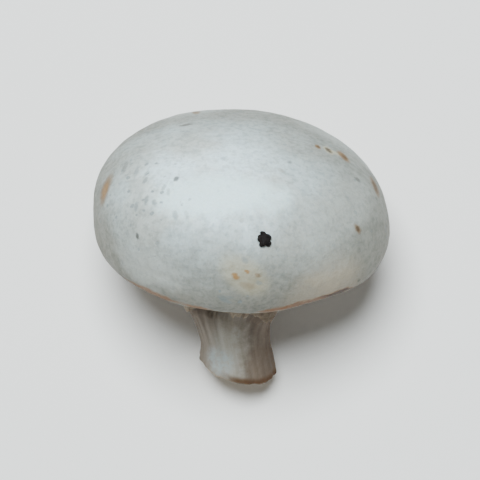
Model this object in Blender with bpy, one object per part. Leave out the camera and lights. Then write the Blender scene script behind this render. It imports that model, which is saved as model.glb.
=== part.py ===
"""Button mushroom, lying on its side as picked: cap, veil and stem, grown as one body.

The mushroom is modelled upright, with its axis on Z, the cap's equator at z = 0 and the stem
pointing down. Its front is -Y. It is then laid back on the cap's side and the stem's cut edge,
so that the front looks up at the sky and the stem points to -Y. Metres, +Z up.
"""

import math

import bmesh
import bpy
from mathutils import Matrix, Vector

# ---- driving dimensions, in metres -------------------------------------------------------
CAP_RADIUS = 0.0231  # at the equator
DOME_RISE = 0.0146  # equator to apex
DOME_POWER = 2.52  # superellipse exponent: 2 is a plain ellipse, more is squarer
MARGIN_DROP = 0.0066  # equator to the underside of the rolled-in margin
MARGIN_RADIUS = 0.0186  # the margin has turned level by this radius
MARGIN_POWER = 2.10
LIP_RADIUS = 0.0005  # the margin's inner edge is this blunt

# Half outlines below the cap, as (radius, height), going inwards and down.
UNDERSIDE = [(MARGIN_RADIUS, -MARGIN_DROP), (0.0158, -0.0070), (0.0130, -0.0076), (0.0110, -0.0084)]
COLLAR = [(0.0099, -0.0086), (0.0096, -0.0100), (0.0091, -0.0113), (0.0086, -0.0125)]  # torn veil
STEM = [
    (0.0079, -0.0127),
    (0.0073, -0.0145),
    (0.0067, -0.0163),
    (0.0061, -0.0182),
    (0.0058, -0.0204),
    (0.0058, -0.0222),
    (0.0060, -0.0240),
    (0.0063, -0.0258),
]
CUT_BEVEL = 0.0004  # the cut end's edge is slightly rounded
CUT_DISH = 0.0005  # the cut face dries into a shallow dish

# ---- how the real one departs from a turned shape ----------------------------------------
OVAL = [(2, 0.014, 0.0), (3, 0.007, 1.1), (5, 0.003, 2.6)]  # waves round the cap: count, share, phase
FULLER_LEFT = 0.020  # the dome's shoulder is fuller at -X than at +X, as a share of the radius
LEAN = 0.0012  # the apex sits this far to -X
MARGIN_WAVES = [(3, 0.00040, 0.5), (5, 0.00025, 2.2), (8, 0.00014, 0.4)]
LIP_WAVES = [(2, 0.00055, 1.0), (5, 0.00030, 0.3), (9, 0.00015, 2.0)]
COLLAR_TEARS = [(4, 0.0006, 0.9), (7, 0.0004, 2.4), (11, 0.0003, 0.2)]
COLLAR_FLARES = [(3, 0.00030, 1.9), (8, 0.00025, 0.7)]  # the torn edge stands off the stem here and there
RIBS = [(9, 0.00006, 0.4), (16, 0.00006, 1.7), (23, 0.00005, 3.0)]  # fibres down the stem
STEM_OFFSET = -0.0007  # the stem grows from just left of the cap's middle
STEM_BEND = 0.0016  # the cut end swings this far to +X
CUT_SLOPE = -0.18  # the cut is not square: it is longer on the +X side
# Shallow hollows in the cap: direction from its middle, angular width in radians, depth.
HOLLOWS = [
    (Vector((0.55, -0.45, 0.75)), 0.34, 0.00045),
    (Vector((-0.25, 0.60, 0.80)), 0.30, 0.00060),
    (Vector((-0.75, -0.35, 0.35)), 0.22, 0.00025),
    (Vector((0.70, 0.65, 0.10)), 0.26, 0.00045),
    (Vector((-0.45, -0.80, -0.40)), 0.50, 0.00090),
    (Vector((0.50, -0.80, -0.35)), 0.55, 0.00250),  # the margin is drawn in at the front right
]

FLAT_DEPTH = 0.0005  # how far the flesh is pressed flat where it lies on the surface
SEGMENTS = 84  # round the axis
DOME_RINGS, MARGIN_RINGS, UNDERSIDE_RINGS, LIP_RINGS = 17, 11, 6, 3
COLLAR_RINGS, STEM_RINGS, CUT_RINGS = 5, 12, 3


# ---- the half outline --------------------------------------------------------------------
def smooth_line(points, steps):
    """Points on a Catmull-Rom curve through the given (radius, height) points, both ends kept."""
    ends = [points[0], *points, points[-1]]
    spans = len(points) - 1
    line = []
    for i in range(steps + 1):
        at = i * spans / steps
        k = min(int(at), spans - 1)
        t = at - k
        p0, p1, p2, p3 = (Vector(p) for p in ends[k : k + 4])
        line.append(
            0.5
            * (
                2 * p1
                + (p2 - p0) * t
                + (2 * p0 - 5 * p1 + 4 * p2 - p3) * t**2
                + (3 * p1 - p0 - 3 * p2 + p3) * t**3
            )
        )
    return line


def dome_line():
    """The apex to just above the equator, on a superellipse."""
    line = []
    for i in range(DOME_RINGS):
        turn = math.pi / 2 * i / DOME_RINGS
        line.append(
            Vector(
                (
                    CAP_RADIUS * math.sin(turn) ** (2 / DOME_POWER),
                    DOME_RISE * math.cos(turn) ** (2 / DOME_POWER),
                )
            )
        )
    return line


def margin_line():
    """The equator to the lowest point of the margin, on a squarer quarter."""
    line = []
    for i in range(MARGIN_RINGS + 1):
        turn = math.pi / 2 * i / MARGIN_RINGS
        out = (CAP_RADIUS - MARGIN_RADIUS) * max(math.cos(turn), 0.0) ** (2 / MARGIN_POWER)
        line.append(Vector((MARGIN_RADIUS + out, -MARGIN_DROP * math.sin(turn) ** (2 / MARGIN_POWER))))
    return line


def lip_line():
    """The margin's blunt inner edge, turning down and in to the crease above the collar."""
    radius, height = UNDERSIDE[-1]
    line = []
    for i in range(1, LIP_RINGS + 1):
        turn = math.pi * 0.9 * i / LIP_RINGS
        line.append(
            Vector((radius - LIP_RADIUS * 2 * math.sin(turn / 2), height - LIP_RADIUS * math.sin(turn)))
        )
    return line


def cut_line():
    """The stem's rounded cut edge and the dished cut face, ending on the axis."""
    radius, height = STEM[-1]
    line = [Vector((radius - CUT_BEVEL * 0.3, height - CUT_BEVEL * 0.7))]
    for i in range(CUT_RINGS + 1):
        inwards = 1 - i / CUT_RINGS
        dish = CUT_DISH * (1 - inwards**2)
        line.append(Vector(((radius - CUT_BEVEL) * inwards, height - CUT_BEVEL + dish)))
    return line


def half_outline():
    underside = smooth_line(UNDERSIDE, UNDERSIDE_RINGS)[1:]
    collar = smooth_line(COLLAR, COLLAR_RINGS)
    stem = smooth_line(STEM, STEM_RINGS)
    return [*dome_line(), *margin_line(), *underside, *lip_line(), *collar, *stem, *cut_line()]


# ---- what makes it grown and not turned --------------------------------------------------
def waves(terms, angle):
    return sum(size * math.cos(count * angle + phase) for count, size, phase in terms)


def ramp(value, low, high):
    """0 at low, 1 at high, smooth between; low may be the larger."""
    t = min(1.0, max(0.0, (value - low) / (high - low)))
    return t * t * (3 - 2 * t)


def grown(point):
    """Moves one point of the turned shape to where it is on the grown mushroom."""
    radius, height = math.hypot(point.x, point.y), point.z
    if radius < 1e-7:
        side = Vector((0.0, 0.0, 0.0))
        angle = 0.0
    else:
        side = Vector((point.x, point.y, 0.0)) / radius
        angle = math.atan2(point.y, point.x)
    in_cap = ramp(radius, COLLAR[0][0], MARGIN_RADIUS) if height < 0 else 1.0
    up = min(1.0, max(0.0, height / DOME_RISE))

    # The cap: oval, fuller on one side, and leaning.
    wider = 1 + in_cap * waves(OVAL, angle) - FULLER_LEFT * math.sin(math.pi * up) * math.cos(angle)
    at_margin = ramp(height, -MARGIN_DROP * 0.4, -MARGIN_DROP) * in_cap
    # The torn veil left round the top of the stem ends higher or lower, and stands off in places.
    at_tear = ramp(height, COLLAR[0][1], COLLAR[-1][1]) * ramp(height, STEM[2][1], STEM[0][1])
    at_lip = ramp(height, UNDERSIDE[1][1], UNDERSIDE[-1][1]) * ramp(height, STEM[1][1], COLLAR[-1][1])
    off_stem = ramp(radius, STEM[0][0], COLLAR[-1][0]) if height < UNDERSIDE[-1][1] else 0.0
    on_stem = ramp(height, COLLAR[-1][1], STEM[2][1])
    if radius > CUT_BEVEL:
        radius += on_stem * min(1.0, radius / STEM[-1][0]) * waves(RIBS, angle)
        radius += off_stem * at_tear * waves(COLLAR_FLARES, angle) + at_lip * waves(LIP_WAVES, angle)
    down = ramp(height, COLLAR[-1][1], STEM[-1][1])
    moved = side * (radius * wider)
    moved.x += STEM_OFFSET * ramp(height, UNDERSIDE[-1][1], STEM[1][1])
    moved.x += STEM_BEND * down * down - LEAN * up * up
    moved.z = height + at_margin * waves(MARGIN_WAVES, angle) + at_tear * waves(COLLAR_TEARS, angle)
    moved.z += CUT_SLOPE * moved.x * ramp(height, STEM[2][1], STEM[-1][1])

    # The cap's shallow hollows, which fade out towards the stem.
    towards = moved.normalized()
    for direction, width, depth in HOLLOWS:
        away = towards.angle(direction.normalized())
        moved -= towards * in_cap * depth * math.exp(-((away / width) ** 2))
    return moved


def upright_mushroom():
    """The half outline spun about Z into one closed body, then grown."""
    bm = bmesh.new()
    line = [bm.verts.new((p.x, 0.0, p.y)) for p in half_outline()]
    edges = [bm.edges.new(pair) for pair in zip(line, line[1:])]
    bmesh.ops.spin(
        bm,
        geom=[*line, *edges],
        cent=(0, 0, 0),
        axis=(0, 0, 1),
        angle=math.tau,
        steps=SEGMENTS,
        use_merge=True,
    )
    bmesh.ops.remove_doubles(bm, verts=bm.verts, dist=1e-6)
    bmesh.ops.recalc_face_normals(bm, faces=bm.faces)
    for vertex in bm.verts:
        vertex.co = grown(vertex.co)
    return bm


# ---- how it lies -------------------------------------------------------------------------
def lowest(points, lean_back):
    """The lowest height of the points once the mushroom is leant back by that angle."""
    return min(p.z * math.cos(lean_back) - p.y * math.sin(lean_back) for p in points)


def resting_lean(bm):
    """The angle to lean back from upright at which cap and stem both reach the surface."""
    cap = [v.co for v in bm.verts if v.co.z > -MARGIN_DROP * 1.2]
    stem = [v.co for v in bm.verts if v.co.z < STEM[0][1]]
    low, high = math.radians(20), math.radians(80)
    for _ in range(40):
        middle = (low + high) / 2
        if lowest(stem, middle) < lowest(cap, middle):
            low = middle
        else:
            high = middle
    return (low + high) / 2


def lay_down(bm):
    """Leans the mushroom back, presses it lightly on the surface and centres it on the origin."""
    bmesh.ops.transform(bm, matrix=Matrix.Rotation(-resting_lean(bm), 4, "X"), verts=bm.verts)
    floor = min(v.co.z for v in bm.verts) + FLAT_DEPTH
    for vertex in bm.verts:
        vertex.co.z = max(0.0, vertex.co.z - floor)
    middle = [(min(v.co[i] for v in bm.verts) + max(v.co[i] for v in bm.verts)) / 2 for i in (0, 1)]
    bmesh.ops.translate(bm, vec=(-middle[0], -middle[1], 0), verts=bm.verts)


def flesh_material():
    material = bpy.data.materials.new("mushroom_flesh")
    material.use_nodes = True
    shader = material.node_tree.nodes["Principled BSDF"]
    shader.inputs["Base Color"].default_value = (0.71, 0.70, 0.66, 1)
    shader.inputs["Roughness"].default_value = 0.62
    shader.inputs["Metallic"].default_value = 0.0
    return material


def build():
    for old in list(bpy.data.objects):
        bpy.data.objects.remove(old)
    bm = upright_mushroom()
    lay_down(bm)
    mesh = bpy.data.meshes.new("button_mushroom")
    bm.to_mesh(mesh)
    bm.free()
    mesh.materials.append(flesh_material())
    mesh.shade_smooth()
    mesh.set_sharp_from_angle(angle=math.radians(40))
    mushroom = bpy.data.objects.new("button_mushroom", mesh)
    bpy.context.scene.collection.objects.link(mushroom)


build()
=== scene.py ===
import math

import bpy
import numpy as np
from mathutils import Matrix, Vector, noise
from mathutils.bvhtree import BVHTree


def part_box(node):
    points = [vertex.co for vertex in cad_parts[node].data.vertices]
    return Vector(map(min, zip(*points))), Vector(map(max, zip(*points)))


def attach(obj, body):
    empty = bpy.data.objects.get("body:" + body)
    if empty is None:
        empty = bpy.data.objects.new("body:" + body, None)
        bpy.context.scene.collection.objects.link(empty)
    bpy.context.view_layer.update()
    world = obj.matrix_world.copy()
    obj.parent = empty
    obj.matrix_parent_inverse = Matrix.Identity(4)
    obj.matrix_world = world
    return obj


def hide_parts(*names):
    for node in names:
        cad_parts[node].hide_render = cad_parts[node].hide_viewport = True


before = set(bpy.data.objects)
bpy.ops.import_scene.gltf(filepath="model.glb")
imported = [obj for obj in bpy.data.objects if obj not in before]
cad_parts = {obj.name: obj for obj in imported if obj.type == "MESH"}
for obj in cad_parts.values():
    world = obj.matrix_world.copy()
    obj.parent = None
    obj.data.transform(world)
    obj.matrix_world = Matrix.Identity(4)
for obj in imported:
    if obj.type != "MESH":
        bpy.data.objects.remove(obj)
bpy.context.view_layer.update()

# Everything about the mushroom's own shape is said upright: axis on Z, the cap's equator at z = 0,
# the stem down, its front at -Y. "around" is the angle about the axis from +X, so -90 is the front.
NODE = "button_mushroom"
MM = 0.001
LOW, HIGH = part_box(NODE)


# ==== the shape, by the same rule as the part's source ====================================
CAP_RADIUS = 0.0231
DOME_RISE = 0.0146
DOME_POWER = 2.52
MARGIN_DROP = 0.0066
MARGIN_RADIUS = 0.0186
MARGIN_POWER = 2.10
LIP_RADIUS = 0.0005
UNDERSIDE = [(MARGIN_RADIUS, -MARGIN_DROP), (0.0158, -0.0070), (0.0130, -0.0076), (0.0110, -0.0084)]
COLLAR = [(0.0099, -0.0086), (0.0096, -0.0100), (0.0091, -0.0113), (0.0086, -0.0125)]
STEM = [
    (0.0079, -0.0127),
    (0.0073, -0.0145),
    (0.0067, -0.0163),
    (0.0061, -0.0182),
    (0.0058, -0.0204),
    (0.0058, -0.0222),
    (0.0060, -0.0240),
    (0.0063, -0.0258),
]
CUT_BEVEL = 0.0004
CUT_DISH = 0.0005
OVAL = [(2, 0.014, 0.0), (3, 0.007, 1.1), (5, 0.003, 2.6)]
FULLER_LEFT = 0.020
LEAN = 0.0012
MARGIN_WAVES = [(3, 0.00040, 0.5), (5, 0.00025, 2.2), (8, 0.00014, 0.4)]
LIP_WAVES = [(2, 0.00055, 1.0), (5, 0.00030, 0.3), (9, 0.00015, 2.0)]
COLLAR_TEARS = [(4, 0.0006, 0.9), (7, 0.0004, 2.4), (11, 0.0003, 0.2)]
COLLAR_FLARES = [(3, 0.00030, 1.9), (8, 0.00025, 0.7)]
RIBS = [(9, 0.00006, 0.4), (16, 0.00006, 1.7), (23, 0.00005, 3.0)]
STEM_OFFSET = -0.0007
STEM_BEND = 0.0016
CUT_SLOPE = -0.18
HOLLOWS = [
    ((0.55, -0.45, 0.75), 0.34, 0.00045),
    ((-0.25, 0.60, 0.80), 0.30, 0.00060),
    ((-0.75, -0.35, 0.35), 0.22, 0.00025),
    ((0.70, 0.65, 0.10), 0.26, 0.00045),
    ((-0.45, -0.80, -0.40), 0.50, 0.00090),
    ((0.50, -0.80, -0.35), 0.55, 0.00250),
]
FLAT_DEPTH = 0.0005

# How finely it is drawn.
SEGMENTS = 400
DOME_RINGS, MARGIN_RINGS, UNDERSIDE_RINGS, LIP_RINGS = 74, 42, 22, 8
COLLAR_RINGS, STEM_RINGS, BEVEL_RINGS, CUT_RINGS = 14, 50, 3, 14
APEX_CROWDING = 1.25  # above 1, so the dome's rings stand closer together near the apex
LIP_TURN = math.pi * 0.9  # how far round the lip curls


def smooth_line(points, steps):
    """Points on a Catmull-Rom curve through the given (radius, height) points, both ends kept."""
    ends = [points[0], *points, points[-1]]
    spans = len(points) - 1
    line = []
    for i in range(steps + 1):
        at = i * spans / steps
        k = min(int(at), spans - 1)
        t = at - k
        p0, p1, p2, p3 = (Vector(p) for p in ends[k : k + 4])
        line.append(
            0.5
            * (
                2 * p1
                + (p2 - p0) * t
                + (2 * p0 - 5 * p1 + 4 * p2 - p3) * t**2
                + (3 * p1 - p0 - 3 * p2 + p3) * t**3
            )
        )
    return line


def half_outline():
    """[(radius, height, region)] from beside the apex to beside the cut face's middle."""
    line = []
    for i in range(1, DOME_RINGS):
        turn = math.pi / 2 * (i / DOME_RINGS) ** APEX_CROWDING
        line.append(
            (
                CAP_RADIUS * math.sin(turn) ** (2 / DOME_POWER),
                DOME_RISE * math.cos(turn) ** (2 / DOME_POWER),
                "cap",
            )
        )
    for i in range(MARGIN_RINGS + 1):
        turn = math.pi / 2 * i / MARGIN_RINGS
        out = (CAP_RADIUS - MARGIN_RADIUS) * max(math.cos(turn), 0.0) ** (2 / MARGIN_POWER)
        line.append((MARGIN_RADIUS + out, -MARGIN_DROP * math.sin(turn) ** (2 / MARGIN_POWER), "cap"))
    line += [(p[0], p[1], "under") for p in smooth_line(UNDERSIDE, UNDERSIDE_RINGS)[1:]]
    radius, height = UNDERSIDE[-1]
    for i in range(1, LIP_RINGS + 1):
        turn = LIP_TURN * i / LIP_RINGS
        line.append(
            (radius - LIP_RADIUS * 2 * math.sin(turn / 2), height - LIP_RADIUS * math.sin(turn), "under")
        )
    line += [(p[0], p[1], "collar") for p in smooth_line(COLLAR, COLLAR_RINGS)]
    line += [(p[0], p[1], "stem") for p in smooth_line(STEM, STEM_RINGS)]
    radius, height = STEM[-1]
    for i in range(1, BEVEL_RINGS + 1):
        turn = math.pi / 2 * i / (BEVEL_RINGS + 1)
        line.append(
            (radius - CUT_BEVEL * (1 - math.cos(turn)), height - CUT_BEVEL * math.sin(turn), "cut")
        )
    for i in range(CUT_RINGS):
        inwards = 1 - i / CUT_RINGS
        line.append(
            ((radius - CUT_BEVEL) * inwards, height - CUT_BEVEL + CUT_DISH * (1 - inwards**2), "cut")
        )
    return line


def grid_faces(rows, columns):
    """Quads between the rows of a grid of points; each row closes on itself."""
    faces = []
    for i in range(rows - 1):
        for j in range(columns):
            k = (j + 1) % columns
            faces.append((i * columns + j, (i + 1) * columns + j, (i + 1) * columns + k, i * columns + k))
    return faces


def waves(terms, angle):
    return sum(size * np.cos(count * angle + phase) for count, size, phase in terms)


def ramp(value, low, high):
    """0 at low, 1 at high, smooth between; low may be the larger."""
    t = np.clip((value - low) / (high - low), 0.0, 1.0)
    return t * t * (3 - 2 * t)


def grown(radius, height, angle, tear=0.0):
    """Where the turned shape's points are on the grown mushroom; tear lowers the collar's edge."""
    in_cap = np.where(height < 0, ramp(radius, COLLAR[0][0], MARGIN_RADIUS), 1.0)
    up = np.clip(height / DOME_RISE, 0.0, 1.0)
    wider = 1 + in_cap * waves(OVAL, angle) - FULLER_LEFT * np.sin(math.pi * up) * np.cos(angle)
    at_margin = ramp(height, -MARGIN_DROP * 0.4, -MARGIN_DROP) * in_cap
    at_tear = ramp(height, COLLAR[0][1], COLLAR[-1][1]) * ramp(height, STEM[2][1], STEM[0][1])
    at_lip = ramp(height, UNDERSIDE[1][1], UNDERSIDE[-1][1]) * ramp(height, STEM[1][1], COLLAR[-1][1])
    off_stem = np.where(height < UNDERSIDE[-1][1], ramp(radius, STEM[0][0], COLLAR[-1][0]), 0.0)
    on_stem = ramp(height, COLLAR[-1][1], STEM[2][1])
    ribbed = on_stem * np.minimum(1.0, radius / STEM[-1][0]) * waves(RIBS, angle)
    ribbed = ribbed + off_stem * at_tear * waves(COLLAR_FLARES, angle) + at_lip * waves(LIP_WAVES, angle)
    out = (radius + np.where(radius > CUT_BEVEL, ribbed, 0.0)) * wider
    down = ramp(height, COLLAR[-1][1], STEM[-1][1])
    x = out * np.cos(angle) + STEM_OFFSET * ramp(height, UNDERSIDE[-1][1], STEM[1][1])
    x = x + STEM_BEND * down * down - LEAN * up * up
    y = out * np.sin(angle)
    z = height + at_margin * waves(MARGIN_WAVES, angle) + at_tear * (waves(COLLAR_TEARS, angle) + tear)
    z = z + CUT_SLOPE * x * ramp(height, STEM[2][1], STEM[-1][1])
    at = np.stack([x, y, z], -1)
    for direction, width, depth in HOLLOWS:
        towards = at / np.linalg.norm(at, axis=-1, keepdims=True)
        middle = np.array(direction) / np.linalg.norm(direction)
        away = np.arccos(np.clip(towards @ middle, -1.0, 1.0))
        at = at - towards * (in_cap * depth * np.exp(-((away / width) ** 2)))[..., None]
    return at


# ==== fine relief =========================================================================
def drawn(field, x, y, z=0.0):
    """A noise field's value at every point of the given coordinate arrays."""
    where = np.broadcast_arrays(x, y, z)
    flat = zip(*(w.ravel().tolist() for w in where))
    return np.array([field(Vector(p)) for p in flat]).reshape(where[0].shape)


def rough(scale, octaves=3, seed=0.0):
    """A smooth noise field; scale is in waves per unit, seed moves it elsewhere."""
    return lambda p: noise.fractal(p * scale + Vector((seed, seed * 1.7, -seed)), 0.6, 2.1, octaves)


outline = half_outline()
radius = np.array([p[0] for p in outline])[:, None]
height = np.array([p[1] for p in outline])[:, None]
region = np.array([p[2] for p in outline])
angle = (np.arange(SEGMENTS) / SEGMENTS * math.tau - math.pi)[None, :]
radius, height, angle = np.broadcast_arrays(radius, height, angle)
steps = np.hypot(np.diff(radius[:, 0]), np.diff(height[:, 0]))
along = np.concatenate([[0.0], np.cumsum(steps)])[:, None] / MM + 0 * angle  # mm from the apex
REGIONS = ("cap", "under", "collar", "stem", "cut")
everywhere = np.ones_like(angle, bool)
is_cap, is_under, is_collar, is_stem, is_cut = ((region == name)[:, None] & everywhere for name in REGIONS)

# Coordinates that run with the fibres: round the axis in mm, and along the outline in mm.
CAP_ROUND, STEM_ROUND = 23.0, 6.0
round_radius = np.where(is_cap | is_under, CAP_ROUND, STEM_ROUND)
fibre = np.stack([round_radius * np.cos(angle), round_radius * np.sin(angle), along], -1)

# How far the veil's edge is torn, as noise drawn round a circle of TEAR_RING mm.
TEAR_RING = 7
BROAD_TEARS, FINE_TEARS = 0.0005, 0.0004
ring = TEAR_RING * np.cos(angle[:1]), TEAR_RING * np.sin(angle[:1])
tear = -BROAD_TEARS * drawn(rough(0.9, 4, 3.1), *ring)
tear = tear - FINE_TEARS * np.abs(drawn(rough(2.1, 2, 8.0), *ring))
base = grown(radius, height, angle, tear)


def normals_of(at):
    """Outward normals of the ring-by-segment grid."""
    down = np.gradient(at, axis=0)
    round_ = np.roll(at, -1, axis=1) - np.roll(at, 1, axis=1)
    n = np.cross(down, round_)
    return n / np.maximum(np.linalg.norm(n, axis=-1, keepdims=True), 1e-12)


upright = base / MM

# A coarser copy of the surface, on which marks, crumbs and flakes find their places by rays.
RING_STEP, SEGMENT_STEP = 2, 4
OUTSIDE = 60  # mm from the axis, beyond the mushroom
coarse = upright[::RING_STEP, ::SEGMENT_STEP]
to_surface = BVHTree.FromPolygons(
    [Vector(p) for p in coarse.reshape(-1, 3)],
    grid_faces(*coarse.shape[:2]),
)


def on_cap(around, rise):
    """The cap's surface in the direction around the axis and up from the equator, in degrees."""
    a, e = math.radians(around), math.radians(rise)
    way = Vector((math.cos(a) * math.cos(e), math.sin(a) * math.cos(e), math.sin(e)))
    hit = to_surface.ray_cast(way * OUTSIDE, -way)[0]
    return np.array(hit)


def off_line(at, start, end):
    """(distance in mm from the segment, 0 to 1 along it) for every point."""
    axis = end - start
    t = np.clip(((at - start) @ axis) / (axis @ axis), 0.0, 1.0)
    return np.linalg.norm(at - start - t[..., None] * axis, axis=-1), t


# Shallow creases in the skin: two ends as (around, rise), depth and width in mm.
CREASES = [
    ((-116, 5), (-103, 8), 0.10, 0.45),
    ((-105, 6), (-91, 9.5), 0.13, 0.40),
    ((-99, 3), (-88, 4), 0.07, 0.40),
    ((-128, 1), (-112, -1), 0.08, 0.50),
    ((-73, 4), (-58, 3), 0.06, 0.50),
    ((-141, 30), (-133, 24), 0.06, 0.35),
    ((-150, 33), (-147, 27), 0.06, 0.35),
    ((-126, 41), (-121, 37), 0.05, 0.35),
    ((-40, 16), (-28, 13), 0.06, 0.50),
    ((20, 12), (34, 16), 0.09, 0.50),
    ((70, 28), (88, 24), 0.10, 0.60),
    ((120, 4), (138, 9), 0.10, 0.55),
    ((150, 30), (165, 33), 0.07, 0.45),
]

# Heights of the relief in mm.
BROAD_RELIEF, SKIN_PITS = 0.11, 0.030
STEM_STRINGS, STEM_PITS = 0.04, 0.03
COLLAR_ROUGHNESS, CUT_ROUGHNESS = 0.05, 0.06
SHOULDER = 0.45  # the swelling beside a crease, as a share of its depth
SHOULDER_OFF = 1.9  # how far beside it, in widths of the crease

broad = drawn(rough(0.11, 3, 5.0), upright[..., 0], upright[..., 1], upright[..., 2])
pitted = drawn(rough(0.55, 3, 1.0), upright[..., 0], upright[..., 1], upright[..., 2])
stringy = drawn(rough(1.15, 3, 2.0), fibre[..., 0], fibre[..., 1], fibre[..., 2] * 0.10)
relief = np.where(is_cap | is_under, BROAD_RELIEF * broad + SKIN_PITS * pitted, 0.0)
for start, end, depth, width in CREASES:
    away, t = off_line(upright, on_cap(*start), on_cap(*end))
    taper = np.sqrt(np.clip(4 * t * (1 - t), 0.0, 1.0))
    relief = relief - depth * taper * np.exp(-((away / width) ** 2))
    beside = (away - SHOULDER_OFF * width) / width
    relief = relief + SHOULDER * depth * taper * np.exp(-(beside**2))
relief = relief + np.where(is_stem, STEM_STRINGS * stringy + STEM_PITS * pitted, 0.0)
relief = relief + np.where(is_collar, COLLAR_ROUGHNESS * pitted + COLLAR_ROUGHNESS * stringy, 0.0)
relief = relief + np.where(is_cut, CUT_ROUGHNESS * pitted, 0.0)
fine = base + normals_of(base) * (relief * MM)[..., None]


# ==== how it lies =========================================================================
def lean_back(at, lean):
    turned = at.copy()
    turned[..., 1] = at[..., 1] * math.cos(lean) + at[..., 2] * math.sin(lean)
    turned[..., 2] = at[..., 2] * math.cos(lean) - at[..., 1] * math.sin(lean)
    return turned


def resting_lean():
    """The angle to lean back from upright at which cap and stem both reach the surface."""
    cap = base[base[..., 2] > -MARGIN_DROP * 1.2]
    stem = base[base[..., 2] < STEM[0][1]]
    low, high = math.radians(20), math.radians(80)
    for _ in range(40):
        middle = (low + high) / 2
        if lean_back(stem, middle)[:, 2].min() < lean_back(cap, middle)[:, 2].min():
            low = middle
        else:
            high = middle
    return (low + high) / 2


LEAN_BACK = resting_lean()
plain = lean_back(base, LEAN_BACK)
FLOOR = plain[..., 2].min() + FLAT_DEPTH
CENTRE = (plain.reshape(-1, 3).min(0) + plain.reshape(-1, 3).max(0)) / 2
SHIFT = np.array([(LOW.x + HIGH.x) / 2 - CENTRE[0], (LOW.y + HIGH.y) / 2 - CENTRE[1], LOW.z - FLOOR])


def laid(at):
    """Points of the upright mushroom, where they are once it lies on the surface."""
    placed = lean_back(np.asarray(at, float), LEAN_BACK) + SHIFT
    placed[..., 2] = np.maximum(placed[..., 2], LOW.z)
    return placed


# ==== the mushroom's mesh =================================================================
# The skin gives way to the underside between these mm along the outline, 0 where it begins.
UNDER_FROM, UNDER_TO = -2.2, 1.6


def mushroom_mesh():
    rings, segments = fine.shape[:2]
    placed = laid(fine).reshape(-1, 3)
    apex = placed[:segments].mean(0)
    heart = placed[-segments:].mean(0)
    points = np.vstack([placed, apex, heart])
    j = np.arange(segments)
    k = (j + 1) % segments
    last = (rings - 1) * segments
    tops = np.stack([np.full_like(j, rings * segments), j, k], -1)
    ends = np.stack([last + k, last + j, np.full_like(j, rings * segments + 1)], -1)
    mesh = bpy.data.meshes.new("mushroom_body")
    mesh.from_pydata(points.tolist(), [], grid_faces(rings, segments) + tops.tolist() + ends.tolist())
    mesh.update()

    def keep(name, kind, values):
        layer = mesh.attributes.new(name, kind, "POINT")
        flat = values.reshape(rings * segments, -1)
        flat = np.vstack([flat, flat[:segments].mean(0), flat[-segments:].mean(0)])
        layer.data.foreach_set("vector" if kind == "FLOAT_VECTOR" else "value", flat.ravel())

    keep("grown_mm", "FLOAT_VECTOR", upright)
    keep("fibre_mm", "FLOAT_VECTOR", fibre)
    turned_in = along - along[is_under.argmax(0).min(), 0]
    keep("under", "FLOAT", np.where(is_cap | is_under, ramp(turned_in, UNDER_FROM, UNDER_TO), 0.0))
    keep("collar", "FLOAT", is_collar * 1.0)
    keep("stem", "FLOAT", is_stem * 1.0)
    keep("cut", "FLOAT", is_cut * 1.0)
    return mesh


def add(name, mesh, material):
    piece = bpy.data.objects.new(name, mesh)
    bpy.context.scene.collection.objects.link(piece)
    mesh.materials.append(material)
    mesh.shade_smooth()
    return piece


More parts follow.
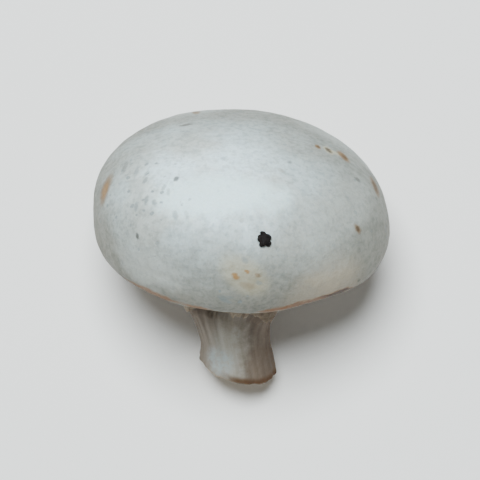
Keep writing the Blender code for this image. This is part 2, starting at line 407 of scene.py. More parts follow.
# ==== materials ===========================================================================
class Nodes:
    """Short calls for building one material's nodes."""

    def __init__(self, name):
        self.material = bpy.data.materials.new(name)
        self.material.use_nodes = True
        self.tree = self.material.node_tree
        self.shader = self.tree.nodes["Principled BSDF"]

    def put(self, socket, value):
        if isinstance(value, bpy.types.NodeSocket):
            self.tree.links.new(value, socket)
        else:
            socket.default_value = value

    def add(self, kind, **settings):
        node = self.tree.nodes.new(kind)
        for key, value in settings.items():
            setattr(node, key, value)
        return node

    def attribute(self, name, output="Fac"):
        return self.add("ShaderNodeAttribute", attribute_name=name).outputs[output]

    def sums(self, operation, a, b=0.0, c=0.0):
        node = self.add("ShaderNodeMath", operation=operation)
        for socket, value in zip(node.inputs, (a, b, c)):
            self.put(socket, value)
        return node.outputs[0]

    def jitter(self, value, texture, span):
        """The value moved up and down over that span by a texture that runs from 0 to 1."""
        return self.sums("MULTIPLY_ADD", self.sums("SUBTRACT", texture, 0.5), span, value)

    def vector(self, operation, a, b=(0, 0, 0), c=(0, 0, 0), output=0):
        node = self.add("ShaderNodeVectorMath", operation=operation)
        for socket, value in zip(node.inputs, (a, b, c)):
            self.put(socket, value)
        return node.outputs[output]

    def noise(self, where, scale, detail=2.0, roughness=0.5, output="Fac"):
        node = self.add("ShaderNodeTexNoise")
        self.put(node.inputs["Vector"], where)
        node.inputs["Scale"].default_value = scale
        node.inputs["Detail"].default_value = detail
        node.inputs["Roughness"].default_value = roughness
        return node.outputs[output]

    def dots(self, where, spacing, size, share):
        """1 on soft round dots about size mm across; share of the cells have one."""
        node = self.add("ShaderNodeTexVoronoi")
        self.put(node.inputs["Vector"], where)
        node.inputs["Scale"].default_value = 1 / spacing
        pick = self.add("ShaderNodeSeparateColor")
        self.put(pick.inputs[0], node.outputs["Color"])
        wide = self.fade(pick.outputs[1], 0.0, 1.0, 0.35 * size / spacing, 0.65 * size / spacing)
        near = self.sums("SUBTRACT", wide, node.outputs["Distance"])
        there = self.sums("LESS_THAN", pick.outputs[0], share)
        return self.sums("MULTIPLY", self.fade(near, -0.06 * size, 0.10 * size), there)

    def fade(self, value, low, high, to_low=0.0, to_high=1.0):
        """to_low at low, to_high at high, smooth between."""
        node = self.add("ShaderNodeMapRange", interpolation_type="SMOOTHSTEP", clamp=True)
        for socket, number in zip(node.inputs[:5], (value, low, high, to_low, to_high)):
            self.put(socket, number)
        return node.outputs[0]

    def mix(self, share, a, b, blend="MIX"):
        node = self.add("ShaderNodeMix", data_type="RGBA", blend_type=blend)
        self.put(node.inputs[0], share)
        self.put(node.inputs[6], a)
        self.put(node.inputs[7], b)
        return node.outputs[2]

    def surface(self, **values):
        """Sets the shader's inputs; an underscore stands for a space in the input's name."""
        for name, value in values.items():
            self.put(self.shader.inputs[name.replace("_", " ")], value)

    def bump(self, height, strength, distance):
        node = self.add("ShaderNodeBump")
        node.inputs["Strength"].default_value = strength
        node.inputs["Distance"].default_value = distance
        self.put(node.inputs["Height"], height)
        self.surface(Normal=node.outputs[0])


# Linear colours.
WHITE = (0.77, 0.92, 0.965, 1)
# painted highlight: the silvery sheen where the light falls on the upper face
PAINTED_SHEEN_SILVER = (0.76, 0.97, 1.0, 1)
CREAM = (0.72, 0.775, 0.75, 1)
# painted shade: the grey the cap is painted toward its sides, back and lower front, where the light turns
# away
PAINTED_SHADE_GREY = (0.245, 0.245, 0.215, 1)
GREYED = (0.64, 0.655, 0.65, 1)
# painted shade: the dark grey-beige of the lower cap and margin
MARGIN_SHADE = (0.255, 0.243, 0.202, 1)
BEIGE = (0.51, 0.425, 0.31, 1)
TAN = (0.195, 0.108, 0.042, 1)
ORANGE = (0.30, 0.165, 0.06, 1)
RUST_AND_WARM_BOUNCE = (0.27, 0.118, 0.038, 1)
BROWN = (0.050, 0.026, 0.011, 1)
DARK_GREY = (0.085, 0.085, 0.075, 1)
BLUE_GREY = (0.19, 0.22, 0.225, 1)
STRAW = (0.56, 0.48, 0.29, 1)
GRAINY = (0.5, 0.5, 0.48, 1)
STALK, STALK_DULL, STALK_TAN = (0.42, 0.395, 0.345, 1), (0.335, 0.305, 0.255, 1), (0.30, 0.265, 0.215, 1)
# painted shade: the stem's brown-dark colours below the cap and down its sides
STALK_SHADE_BROWN, STALK_SHADE_DARK = (0.175, 0.13, 0.097, 1), (0.125, 0.091, 0.067, 1)
STALK_LEFT_SHADE, STALK_RIGHT_SHADE = (0.10, 0.072, 0.052, 1), (0.085, 0.056, 0.038, 1)
STALK_WASHED = (0.365, 0.395, 0.39, 1)
RIND = (0.085, 0.041, 0.017, 1)
FACE, FACE_TAN = (0.62, 0.56, 0.45, 1), (0.46, 0.38, 0.27, 1)
FACE_SPOT, FACE_RING = (0.36, 0.27, 0.18, 1), (0.33, 0.25, 0.17, 1)
BELOW, BELOW_TAN, BELOW_SILK = (0.63, 0.60, 0.53, 1), (0.44, 0.37, 0.28, 1), (0.72, 0.70, 0.64, 1)
# painted shade: the collar's colours, darkened brown as if in the cap's shadow
TORN_IN_SHADE, TORN_BROWN_IN_SHADE, TORN_DARK_SHADE = (0.33, 0.27, 0.20, 1), (0.20, 0.15, 0.105, 1), (0.13, 0.094, 0.066, 1)
# painted shade: the veil flakes' dark brown, like the shaded collar
FLAKE_IN_SHADE, FLAKE_BROWN_IN_SHADE = (0.31, 0.255, 0.19, 1), (0.21, 0.16, 0.112, 1)
SOIL, SOIL_LIGHT = (0.004, 0.003, 0.003, 1), (0.016, 0.011, 0.010, 1)
SCATTER = (1.0, 0.72, 0.45)  # how far red, green and blue light go in the flesh

# Broad soft patches: the silvery one is a painted highlight, the dull one painted shade low on the front,
# the cream ones the skin's own tone; two ends as (around, rise), width in mm, colour, share.
PATCHES = [
    ((-124, 33), (-78, 42), 8.0, PAINTED_SHEEN_SILVER, 0.85),
    ((-113, 14), (-92, 12), 9.0, PAINTED_SHADE_GREY, 0.36),
    ((-136, 2), (-120, 0), 7.0, CREAM, 0.26),
    ((-64, 14), (-47, 10), 7.0, CREAM, 0.13),
    ((-54, 24), (-20, 28), 8.0, CREAM, 0.15),
    ((95, 20), (130, 34), 9.0, CREAM, 0.22),
    ((20, 24), (44, 36), 8.0, CREAM, 0.18),
]

# Marks on the skin: two ends as (around, rise) in degrees, full width in mm, colour, strength.
MARKS = [
    ((-166.5, 20.5), (-162.5, 15.5), 2.5, TAN, 0.80),
    ((-165, 19), (-163, 16.5), 1.3, ORANGE, 0.55),
    ((11.0, 50.2), (7.5, 49.8), 0.9, TAN, 0.95),
    ((10.0, 49.9), (8.6, 49.7), 0.6, BROWN, 0.60),
    ((9.5, 45.6), (5.0, 44.4), 1.5, STRAW, 0.50),
    ((8.8, 45.2), (5.8, 44.6), 1.1, BROWN, 0.90),
    ((7.3, 43), (6.2, 40.5), 1.1, STRAW, 0.35),
    ((8.6, 38.9), (4.2, 37.2), 1.7, TAN, 0.95),
    ((7.0, 38.0), (5.2, 37.4), 0.9, BROWN, 0.55),
    ((1.5, 22.3), (-3.0, 20.4), 2.3, TAN, 0.80),
    ((0.5, 22.4), (-2.5, 20.8), 1.3, BROWN, 0.60),
    ((-10, 31.3), (-10, 30.2), 0.85, DARK_GREY, 0.60),
    ((-33.4, 17.9), (-32.6, 16.1), 1.1, TAN, 0.65),
    ((-33.2, 17.4), (-32.8, 16.6), 0.75, BROWN, 0.70),
    ((-91, 10), (-84, 4), 5.2, STRAW, 0.34),
    ((-91.4, 7.3), (-90.6, 6.5), 0.95, ORANGE, 0.92),
    ((-87, 9.4), (-86.4, 9.0), 0.62, ORANGE, 0.85),
    ((-82.6, 7.6), (-81.6, 7.0), 0.7, TAN, 0.55),
    ((-88, 14), (-87.5, 13.5), 0.9, BLUE_GREY, 0.55),
    ((-82, 4), (-81, 3.5), 0.75, BLUE_GREY, 0.50),
    ((-88, 3), (-84, 2), 1.2, TAN, 0.30),
    ((-134, 40.1), (-133.6, 39.5), 0.8, DARK_GREY, 0.80),
    ((-134, 13.3), (-133.6, 12.7), 0.7, DARK_GREY, 0.90),
    ((-139, 27.5), (-137.5, 25.5), 0.75, BLUE_GREY, 0.70),
    ((-133.8, 27.3), (-133, 26.8), 0.85, BLUE_GREY, 0.65),
    ((-121.5, 26.5), (-120.5, 25.5), 0.95, BLUE_GREY, 0.55),
    ((-141.5, 23.5), (-140, 21.5), 0.75, BLUE_GREY, 0.60),
    ((-135.5, 34.5), (-135, 33.5), 0.7, BLUE_GREY, 0.50),
    ((-148, 32.5), (-147, 31.5), 0.85, BLUE_GREY, 0.65),
    ((-152, 35), (-151, 34), 0.7, BLUE_GREY, 0.50),
    ((-132, 34), (-130, 32.5), 0.6, BLUE_GREY, 0.40),
    ((-117, 28.5), (-116, 27.5), 0.7, BLUE_GREY, 0.30),
    ((-169, 30), (-164, 28), 0.9, DARK_GREY, 0.40),
    ((-160, 33), (-156, 31), 0.8, BLUE_GREY, 0.50),
    ((-152, 57), (-149, 56), 0.9, BLUE_GREY, 0.28),
    ((-119, 63), (-115, 62), 0.9, BLUE_GREY, 0.28),
    ((-55, 56), (-54, 55), 0.9, TAN, 0.28),
    ((-96, -4.4), (-93, -6), 0.9, BLUE_GREY, 0.60),
    ((-97, -3), (-92, -3.5), 0.7, BLUE_GREY, 0.40),
    ((-32, -6.5), (-31.5, -7), 0.7, DARK_GREY, 0.65),
    # The side that lies away, marked in the same way.
    ((62, 34), (64, 30), 1.2, TAN, 0.75),
    ((104, 18.4), (105, 17.4), 0.9, DARK_GREY, 0.75),
    ((125, 40), (122, 36), 1.3, TAN, 0.75),
    ((142, 12), (139, 11), 1.4, ORANGE, 0.70),
    ((38, 8), (40, 4), 1.1, TAN, 0.75),
    ((166, 2), (169, -1), 1.4, TAN, 0.70),
    ((80, 5), (81, 4), 1.0, BLUE_GREY, 0.65),
    ((150, 52), (154, 50), 1.0, BROWN, 0.55),
]


# Textures that grey the skin: name, the values where it sets in and where it is full, share.
GREYING = [
    ("mottle", 0.44, 0.70, 0.34),
    ("patch", 0.40, 0.68, 0.28),
    ("silk", 0.45, 0.75, 0.16),
    ("stipple", 0.44, 0.66, 0.54),
]

# Where the skin is flecked and where it is beige: (around, rise), radius and soft edge in mm.
FLECKED = [((-145, 26), 5, 8), ((-95, -4), 3, 4), ((110, 30), 5, 8), ((-12, 20), 3, 7), ((20, 55), 2, 6)]
BEIGE_AREAS = [((-49, -8), 3, 6), ((55, -3), 4, 7), ((150, -6), 2, 6)]

# Washed patches of the stem: (around, height), radius and soft edge in mm.
WASHED = [((-112, -23.0), 1.2, 2.2), ((70, -19.0), 2.0, 3.0)]


def skin_mark(n, place, start, end, width):
    """1 on an oval between the two ends, fading to 0 just outside it."""
    start, end = on_cap(*start), on_cap(*end)
    middle, axis = (start + end) / 2, end - start
    half_length = np.linalg.norm(axis) / 2 + width / 2
    axis = axis / max(np.linalg.norm(axis), 1e-6)
    away = n.vector("SUBTRACT", place, tuple(middle))
    ahead = n.vector("DOT_PRODUCT", away, tuple(axis), output="Value")
    ahead = n.sums("POWER", ahead, 2.0)
    whole = n.vector("DOT_PRODUCT", away, away, output="Value")
    side = n.sums("SUBTRACT", whole, ahead)
    far = n.sums("MULTIPLY_ADD", ahead, half_length**-2, n.sums("MULTIPLY", side, (width / 2) ** -2))
    return n.fade(far, 1.7, 0.15)


def zone(n, place, middle, size, soft):
    """1 within size mm of that point, fading to 0 over soft mm more."""
    far = n.vector("DISTANCE", place, tuple(middle), output="Value")
    return n.fade(far, size + soft, size)


def any_zone(n, place, zones):
    """1 within any of the zones on the cap, as zone() gives it."""
    found = [zone(n, place, on_cap(*middle), size, soft) for middle, size, soft in zones]
    whole = found[0]
    for other in found[1:]:
        whole = n.sums("MAXIMUM", whole, other)
    return whole


def at_height(around, high):
    """The surface of cap or stem at that angle round the axis and that height in mm."""
    a = math.radians(around)
    way = Vector((math.cos(a), math.sin(a), 0))
    hit = to_surface.ray_cast(Vector((0, 0, high)) + way * OUTSIDE, -way)[0]
    return np.array(hit)


# Bruises and painted shade along the margin's fold: (around, height, half length, half width in mm, how
# brown).
BRUISES_AND_SHADE = [
    (-41, -4.3, 5.5, 1.60, 1.0),
    (-57, -4.8, 6.0, 1.40, 0.40),
    (-71, -5.1, 4.5, 1.15, 0.20),
    (-107, -4.9, 3.5, 0.90, 0.10),
    (-129, -4.5, 8.0, 1.20, 0.25),
    (30, -5.0, 5.0, 0.90, 0.40),
    (112, -5.2, 6.0, 0.90, 0.50),
    (172, -4.6, 4.0, 0.70, 0.25),
]


def bruised_and_shaded_margin(n, t, skin):
    """Thin ragged tan to brown lines along the rolled margin: partly rubbed bruises, partly painted
    contact shade and painted warm bounce light.
    """
    edge = n.jitter(n.jitter(t["rise"], t["mottle"], 1.6), t["stipple"], 0.9)
    for around, high, length, wide, brown in BRUISES_AND_SHADE:
        near = zone(n, t["ragged"], at_height(around, high), 0.25 * length, 0.75 * length)
        reach = n.sums("MULTIPLY", near, wide)
        off = n.sums("ABSOLUTE", n.sums("SUBTRACT", edge, high))
        tan = n.sums("MULTIPLY", n.fade(off, reach, n.sums("MULTIPLY", reach, 0.3)), near)
        core = n.fade(off, n.sums("MULTIPLY", reach, 0.8), n.sums("MULTIPLY", reach, 0.2), 0.0, brown)
        # painted shade and warm bounce light: a rust band and a brown core along the margin's lower edge,
        # partly real bruising
        skin = n.mix(n.sums("MULTIPLY", tan, 0.85), skin, RUST_AND_WARM_BOUNCE)
        skin = n.mix(n.sums("MULTIPLY", core, near), skin, BROWN)
    return skin


def cap_colour(n, place, t):
    """The cap's skin, from its ground colour to its single marks."""
    skin = n.mix(n.fade(t["clouds"], 0.36, 0.66), WHITE, CREAM)
    # Painted highlight and shade: whitest on the upper face where the light falls, painted duller toward
    # the sides, the crown's back and the margin, where the light turns away.
    from_highlight = n.vector("DISTANCE", place, tuple(on_cap(-116, 43)), output="Value")
    from_highlight = n.jitter(from_highlight, t["clouds"], 12.0)
    skin = n.mix(n.fade(from_highlight, 2.0, 24.0, 0.0, 0.93), skin, PAINTED_SHADE_GREY)
    # painted shade: the lower cap and margin painted darker where the cap turns down away from the light
    low = n.jitter(t["rise"], t["mottle"], -6.0)
    skin = n.mix(n.fade(low, 13.0, -3.0, 0.0, 0.90), skin, MARGIN_SHADE)
    for texture, sets_in, full, share in GREYING:
        skin = n.mix(n.fade(t[texture], sets_in, full, 0.0, share), skin, GREYED, "MULTIPLY")
    for start, end, width, colour, share in PATCHES:
        patch = skin_mark(n, t["loose"], start, end, width)
        skin = n.mix(n.sums("MULTIPLY", patch, share), skin, colour)

    flecked = n.sums("MULTIPLY_ADD", any_zone(n, place, FLECKED), 0.52, 0.14)
    skin = n.mix(n.sums("MULTIPLY", t["flecks"], flecked), skin, BLUE_GREY)
    skin = n.mix(n.sums("MULTIPLY", t["specks"], 0.50), skin, DARK_GREY)

    beige = n.sums("MULTIPLY", any_zone(n, place, BEIGE_AREAS), n.fade(t["mottle"], 0.3, 0.7, 0.34, 0.68))
    skin = n.mix(beige, skin, BEIGE)
    for start, end, width, colour, strength in MARKS:
        mark = skin_mark(n, t["ragged"], start, end, width)
        skin = n.mix(n.sums("MULTIPLY", mark, strength), skin, colour)
    return skin


def stem_colour(n, place, t):
    """The stem's fibrous skin, with painted shade: brown-dark just below the cap where the cap shades it
    and down both sides; washed patches low.
    """
    stalk = n.mix(n.fade(t["string"], 0.30, 0.70), STALK, STALK_DULL)
    brown = n.mix(n.fade(t["string"], 0.3, 0.7), STALK_SHADE_BROWN, STALK_SHADE_DARK)
    stalk = n.mix(n.fade(t["mottle"], 0.40, 0.70, 0.0, 0.5), stalk, STALK_TAN)
    # painted shadow: the stem painted brown-dark just below the cap, where the cap's shadow falls
    under_cap_shadow = n.jitter(t["rise"], t["mottle"], 4.0)
    stalk = n.mix(n.fade(under_cap_shadow, -18.5, -13.5, 0.0, 0.45), stalk, brown)
    # painted shade: both sides of the stem painted darker and browner, where the light turns away
    aside = n.jitter(t["side"], t["mottle"], 4.0)
    stalk = n.mix(n.fade(aside, -1.5, -5.0, 0.0, 0.72), stalk, brown)
    stalk = n.mix(n.fade(aside, -0.3, 3.6, 0.0, 0.95), stalk, brown)
    stalk = n.mix(n.fade(aside, 3.8, 6.8, 0.0, 0.50), stalk, STALK_RIGHT_SHADE)
    stalk = n.mix(n.fade(aside, -4.5, -7.0, 0.0, 0.50), stalk, STALK_LEFT_SHADE)
    for middle, size, soft in WASHED:
        near = zone(n, t["ragged"], at_height(*middle), size, soft)
        washed = n.sums("MULTIPLY", near, n.fade(t["stipple"], 0.35, 0.6, 0.25, 0.9))
        stalk = n.mix(washed, stalk, STALK_WASHED)
    slope = n.sums("MULTIPLY_ADD", t["side"], -CUT_SLOPE, n.jitter(t["rise"], t["mottle"], 1.2))
    rim = n.sums("MULTIPLY", n.fade(slope, -24.6, -25.5), n.fade(aside, -3.0, 1.5, 0.12, 0.95))
    return n.mix(rim, stalk, RIND)


def cut_colour(n, t, inwards):
    """The knife-cut face: pale flesh gone tan, a darker rind and a faint ring round the pith."""
    face = n.mix(n.fade(t["mottle"], 0.40, 0.66), FACE, FACE_TAN)
    face = n.mix(n.fade(t["stipple"], 0.40, 0.70, 0.0, 0.35), face, FACE_SPOT)
    ring = n.fade(n.sums("ABSOLUTE", n.sums("SUBTRACT", inwards, 2.7)), 0.55, 0.0, 0.0, 0.40)
    face = n.mix(ring, face, FACE_RING)
    ragged = n.jitter(inwards, t["mottle"], 1.2)
    rind = n.sums("MULTIPLY", n.fade(ragged, 1.1, 0.3), n.fade(t["side"], -4.0, 2.0, 0.45, 0.95))
    return n.mix(rind, face, RIND)


def flesh_material():
    n = Nodes("mushroom_skin")
    place = n.attribute("grown_mm", "Vector")
    fibres = n.attribute("fibre_mm", "Vector")
    stem, cut = n.attribute("stem"), n.attribute("cut")
    collar, under = n.attribute("collar"), n.attribute("under")
    apart = n.add("ShaderNodeSeparateXYZ")
    n.put(apart.inputs[0], place)
    down_outline = n.add("ShaderNodeSeparateXYZ")
    n.put(down_outline.inputs[0], fibres)
    inwards = n.sums("SUBTRACT", down_outline.outputs["Z"], float(along[is_cut.argmax(0).min(), 0]))
    push = n.vector("MULTIPLY_ADD", n.noise(place, 1.9, 3.0, 0.6, "Color"), (0.55,) * 3, (-0.275,) * 3)
    drift = n.vector("MULTIPLY_ADD", n.noise(place, 0.22, 3.0, 0.6, "Color"), (5.0,) * 3, (-2.5,) * 3)
    t = {
        "side": apart.outputs["X"],
        "rise": apart.outputs["Z"],
        "ragged": n.vector("ADD", place, push),
        "loose": n.vector("ADD", place, drift),
        "clouds": n.noise(place, 0.10, 3.0),
        "mottle": n.noise(place, 0.32, 5.0, 0.64),
        "patch": n.noise(n.vector("ADD", place, (31, 5, 11)), 0.85, 3.0, 0.55),
        "stipple": n.noise(place, 1.25, 3.0, 0.6),
        "grain": n.noise(place, 3.0, 3.0, 0.6),
        "silk": n.noise(n.vector("MULTIPLY", fibres, (1.3, 1.3, 0.14)), 1.0, 4.0, 0.6),
        "weave": n.noise(n.vector("MULTIPLY", fibres, (0.35, 0.35, 0.9)), 1.0, 3.0, 0.55),
        "string": n.noise(n.vector("MULTIPLY", fibres, (1.1, 1.1, 0.085)), 1.0, 4.0, 0.58),
    }
    t["flecks"] = n.dots(t["ragged"], 1.4, 0.62, 0.42)
    t["specks"] = n.dots(n.vector("ADD", t["ragged"], (40, 9, 17)), 4.5, 0.6, 0.5)

    below = n.mix(n.fade(t["mottle"], 0.42, 0.70), BELOW, BELOW_TAN)
    below = n.mix(n.fade(t["silk"], 0.42, 0.70, 0.0, 0.55), below, BELOW_SILK)
    turned = n.jitter(under, t["mottle"], 1.2)
    turned = n.sums("MULTIPLY", n.fade(turned, 0.25, 0.75), n.fade(under, 0.0, 0.15))
    # painted shade: the torn collar under the cap painted dark brown, darkest on its right side
    torn = n.mix(n.fade(t["stipple"], 0.35, 0.65), TORN_IN_SHADE, TORN_BROWN_IN_SHADE)
    torn = n.mix(n.fade(t["side"], 2.0, 7.0, 0.0, 0.7), torn, TORN_DARK_SHADE)
    colour = bruised_and_shaded_margin(n, t, n.mix(turned, cap_colour(n, place, t), below))
    colour = n.mix(collar, colour, torn)
    colour = n.mix(stem, colour, stem_colour(n, place, t))
    colour = n.mix(cut, colour, cut_colour(n, t, inwards))
    colour = n.mix(n.fade(t["grain"], 0.3, 0.7, 0.0, 0.16), colour, GRAINY, "MULTIPLY")

    dry = n.fade(t["mottle"], 0.3, 0.7, 0.56, 0.72)
    dry = n.sums("ADD", dry, n.fade(t["grain"], 0.3, 0.7, -0.04, 0.06))
    dry = n.sums("MULTIPLY_ADD", n.sums("MAXIMUM", stem, collar), 0.18, dry)
    n.surface(Base_Color=colour, Roughness=dry, IOR=1.33)
    n.surface(Subsurface_Weight=0.18, Subsurface_Radius=SCATTER, Subsurface_Scale=1.5 * MM)

    # Fine relief in mm: silky fibres, pits, grain and sunk flecks; strings down the stem.
    lift = n.sums("MULTIPLY", t["silk"], 0.07)
    lift = n.sums("MULTIPLY_ADD", t["weave"], 0.04, lift)
    lift = n.sums("MULTIPLY_ADD", t["stipple"], 0.14, lift)
    lift = n.sums("MULTIPLY_ADD", t["grain"], 0.04, lift)
    lift = n.sums("MULTIPLY_ADD", t["flecks"], -0.04, lift)
    lift = n.sums("MULTIPLY", lift, n.sums("SUBTRACT", 1.0, stem))
    lift = n.sums("MULTIPLY_ADD", n.sums("MULTIPLY", t["string"], stem), 0.12, lift)
    n.bump(lift, strength=0.8, distance=MM)
    return n.material


body = add("mushroom_body", mushroom_mesh(), flesh_material())
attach(body, "root")
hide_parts(NODE)


# ==== what clings to it ===================================================================
def tube_mesh(name, grids):
    """One mesh of several closed tubes, each given as rows of points round it in upright mm."""
    points, faces = [], []
    for grid in grids:
        rows, columns = grid.shape[:2]
        first = len(points)
        points += laid(grid * MM).reshape(-1, 3).tolist()
        faces += [tuple(first + corner for corner in face) for face in grid_faces(rows, columns)]
        start, end = len(points), first + (rows - 1) * columns
        middles = np.mean(points[first : first + columns], 0), np.mean(points[end:], 0)
        points += [middle.tolist() for middle in middles]
        for j in range(columns):
            k = (j + 1) % columns
            faces += [(start, first + j, first + k), (start + 1, end + k, end + j)]
    mesh = bpy.data.meshes.new(name)
    mesh.from_pydata(points, [], faces)
    mesh.update()
    return mesh


def frame_at(around, rise):
    """(place, outward, sideways, upward) on the cap."""
    place = on_cap(around, rise)
    aside = on_cap(around + 1, rise) - on_cap(around - 1, rise)
    above = on_cap(around, rise + 1) - on_cap(around, rise - 1)
    outward = np.cross(aside, above)
    outward, above = outward / np.linalg.norm(outward), above / np.linalg.norm(above)
    return place, outward, np.cross(above, outward), above


LUMP_AROUND, LUMP_DOWN = 36, 20
STANDS_OUT = 0.45  # how far a lump's middle stands off the skin, as a share of its thickness


def crumb_lump(around, rise, wide, tall, thick, lobes, seed):
    """A lobed crumb of casing soil pressed lightly into the skin."""
    place, outward, aside, above = frame_at(around, rise)
    turn = np.linspace(0, math.tau, LUMP_AROUND, endpoint=False)[None, :]
    tilt = np.linspace(0.05, math.pi - 0.05, LUMP_DOWN)[:, None]
    x, y, z = np.sin(tilt) * np.cos(turn), np.sin(tilt) * np.sin(turn), np.cos(tilt) + 0 * turn
    lobed = 1 + 0.10 * np.sin(tilt) * np.cos(lobes * turn + 0.9)
    lobed = lobed + 0.04 * np.sin(tilt) * np.cos(2 * turn + 2.0)
    lumpy = 1 + 0.22 * drawn(rough(2.6, 3, seed), x, y, z)
    size = (lobed * lumpy)[..., None]
    x, y, z = x[..., None], y[..., None], z[..., None]
    lump = size * (x * aside * wide + y * above * tall + z * outward * thick)
    return place + outward * thick * STANDS_OUT + lump / 2


def soil_material():
    n = Nodes("casing_soil")
    where = n.add("ShaderNodeTexCoord").outputs["Object"]
    lumps = n.noise(where, 1500.0, 4.0, 0.65)
    n.surface(
        Base_Color=n.mix(n.fade(lumps, 0.35, 0.75), SOIL, SOIL_LIGHT),
        Roughness=n.fade(lumps, 0.3, 0.7, 0.70, 0.90),
        Specular_IOR_Level=0.2,
    )
    n.bump(lumps, strength=0.7, distance=0.15 * MM)
    return n.material


# Grains of casing soil as (around, rise, wide, tall, thick, lobes, seed), in degrees and mm.
GRAINS = [
    (-80.0, 21.7, 1.60, 1.95, 1.15, 3, 4.0),
    (-80.5, 24.2, 0.85, 0.65, 0.85, 2, 9.0),
    (-81.6, 22.3, 1.00, 1.05, 0.90, 3, 12.0),
    (-78.5, 22.7, 0.95, 0.95, 1.00, 2, 15.0),
    (-81.0, 20.1, 0.95, 0.75, 0.85, 3, 18.0),
    (-78.7, 20.6, 1.05, 1.10, 0.90, 2, 21.0),
    (62.0, 4.0, 0.90, 0.80, 0.70, 4, 24.0),
]
crumbs = add("soil_crumbs", tube_mesh("soil_crumbs", [crumb_lump(*g) for g in GRAINS]), soil_material())
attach(crumbs, "root")


FLAKE_ACROSS, FLAKE_DOWN = 15, 11
FLAKE_THICK = 0.16  # mm, half its thickness in the middle at the root


def veil_flake(around, high, wide, long, curl, seed):
    """A thin torn flake of the veil hanging off the collar: a flat tube, thinnest at its sides."""
    a = math.radians(around)
    out, aside = np.array([math.cos(a), math.sin(a), 0.0]), np.array([-math.sin(a), math.cos(a), 0.0])
    root = at_height(around, high) - 0.25 * out
    across, down = np.linspace(-1, 1, FLAKE_ACROSS)[None, :], np.linspace(0, 1, FLAKE_DOWN)[:, None]
    narrow = wide / 2 * (1 - 0.45 * down**2) * (1 + 0.3 * drawn(rough(1.2, 2, seed + 3), 0.0, down))
    torn = (1 + 0.30 * drawn(rough(1.3, 3, seed), 2 * across, 0.0)) * np.sqrt(1 - 0.75 * across**2)
    off = 0.35 + curl * (down * torn) ** 1.5 + 0.10 * drawn(rough(2.0, 2, seed), 2 * across, 3 * down)
    thick = FLAKE_THICK * np.sqrt((1 - across**2) * (1 - 0.9 * down)) + 0.005
    down = long * down * torn
    middle = root + (narrow * across)[..., None] * aside - down[..., None] * np.array([0, 0, 1.0])
    front, back = middle + (off + thick)[..., None] * out, middle + (off - thick)[..., None] * out
    return np.concatenate([front, back[:, ::-1]], axis=1)


def veil_material():
    n = Nodes("torn_veil")
    where = n.add("ShaderNodeTexCoord").outputs["Object"]
    fluff = n.noise(where, 900.0, 4.0, 0.6)
    n.surface(
        # painted shade: the flakes share the collar's shaded dark brown
        Base_Color=n.mix(n.fade(fluff, 0.35, 0.65), FLAKE_IN_SHADE, FLAKE_BROWN_IN_SHADE),
        Roughness=n.fade(fluff, 0.3, 0.7, 0.62, 0.80),
        Subsurface_Weight=0.2,
        Subsurface_Radius=SCATTER,
        Subsurface_Scale=MM,
    )
    n.bump(fluff, strength=0.5, distance=0.1 * MM)
    return n.material


# Flakes as (around, height, width, length, curl outward, seed), in degrees and mm.
FLAKES = [
    (-151, -12.0, 1.9, 1.1, 0.2, 1.0),
    (-168, -12.2, 1.4, 0.9, 0.1, 2.0),
    (52, -12.3, 2.2, 1.1, 0.1, 7.0),
    (88, -12.2, 1.6, 1.0, 0.2, 8.0),
    (121, -12.3, 2.4, 1.0, 0.1, 9.0),
    (152, -12.1, 1.6, 1.1, 0.2, 10.0),
]
flakes = add("veil_flakes", tube_mesh("veil_flakes", [veil_flake(*f) for f in FLAKES]), veil_material())
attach(flakes, "root")


# ==== stage, lights and camera ============================================================
FLAT_FLOOR, SWEEP = 0.8, 0.6  # radius of the flat part, and of the curve beyond it
FLAT_STEPS, SWEEP_STEPS, FLOOR_SIDES = 6, 12, 96
FLOOR_COLOUR = (0.94, 0.90, 0.87, 1)
FLOOR_ROUGHNESS = 0.8
WORLD_COLOUR = (0.88, 0.95, 1.0, 1)
WORLD_STRENGTH = 0.06
# One soft light nearly overhead, a little behind and to the left.
LIGHT_AT, LIGHT_TARGET = (-0.09, 0.23, 0.89), (0, 0, 0.02)
LIGHT_SIZE, LIGHT_POWER = 0.4, 19
LIGHT_COLOUR = (0.88, 0.97, 1.0)
# The photograph looks down at this angle, rolled a little; the mushroom takes this share across.
VIEW_ELEVATION = math.radians(84)
VIEW_ROLL = math.radians(4)
VIEW_DISTANCE = 0.45
FRAME_SHARE = 0.62
SENSOR = 36


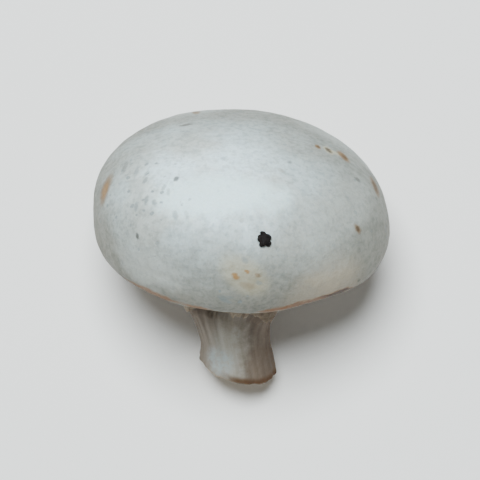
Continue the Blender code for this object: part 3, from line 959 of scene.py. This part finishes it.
def floor():
    """A round floor that sweeps up into a low backdrop, far from the mushroom."""
    n = Nodes("studio_floor")
    n.surface(Base_Color=FLOOR_COLOUR, Roughness=FLOOR_ROUGHNESS)
    sweep = [(FLAT_FLOOR * i / FLAT_STEPS, 0.0) for i in range(1, FLAT_STEPS + 1)]
    for i in range(1, SWEEP_STEPS + 1):
        turn = math.pi / 2 * i / SWEEP_STEPS
        sweep.append((FLAT_FLOOR + SWEEP * math.sin(turn), SWEEP * (1 - math.cos(turn))))
    sides = FLOOR_SIDES
    points, faces = [(0, 0, LOW.z)], []
    for distance, up in sweep:
        for j in range(sides):
            a = math.tau * j / sides
            points.append((distance * math.cos(a), distance * math.sin(a), LOW.z + up))
    for j in range(sides):
        k = (j + 1) % sides
        faces.append((0, 1 + j, 1 + k))
        for i in range(len(sweep) - 1):
            first = 1 + i * sides
            faces.append((first + j, first + sides + j, first + sides + k, first + k))
    mesh = bpy.data.meshes.new("studio_floor")
    mesh.from_pydata(points, [], faces)
    ground = add("studio_floor", mesh, n.material)


def soft_light(name, at, towards, size, power, colour):
    lamp = bpy.data.lights.new(name, "AREA")
    lamp.shape = "DISK"
    lamp.size = size
    lamp.energy = power
    lamp.color = colour
    thing = bpy.data.objects.new(name, lamp)
    thing.location = at
    thing.rotation_mode = "QUATERNION"
    thing.rotation_quaternion = (Vector(towards) - Vector(at)).to_track_quat("-Z", "Y")
    bpy.context.scene.collection.objects.link(thing)


def world_light():
    world = bpy.data.worlds.new("studio")
    world.use_nodes = True
    back = world.node_tree.nodes["Background"]
    back.inputs["Color"].default_value = WORLD_COLOUR
    back.inputs["Strength"].default_value = WORLD_STRENGTH
    bpy.context.scene.world = world


def camera():
    middle = (LOW + HIGH) / 2
    back = Vector((0, -math.cos(VIEW_ELEVATION), math.sin(VIEW_ELEVATION)))
    data = bpy.data.cameras.new("camera")
    data.sensor_width = SENSOR
    data.lens = SENSOR * VIEW_DISTANCE / ((HIGH.x - LOW.x) / FRAME_SHARE)
    thing = bpy.data.objects.new("camera", data)
    thing.location = middle + back * VIEW_DISTANCE
    thing.rotation_mode = "QUATERNION"
    turn = (-back).to_track_quat("-Z", "Y").to_matrix().to_4x4() @ Matrix.Rotation(VIEW_ROLL, 4, "Z")
    thing.rotation_quaternion = turn.to_quaternion()
    bpy.context.scene.collection.objects.link(thing)
    bpy.context.scene.camera = thing


floor()
world_light()
soft_light("overhead", LIGHT_AT, LIGHT_TARGET, LIGHT_SIZE, LIGHT_POWER, LIGHT_COLOUR)
camera()
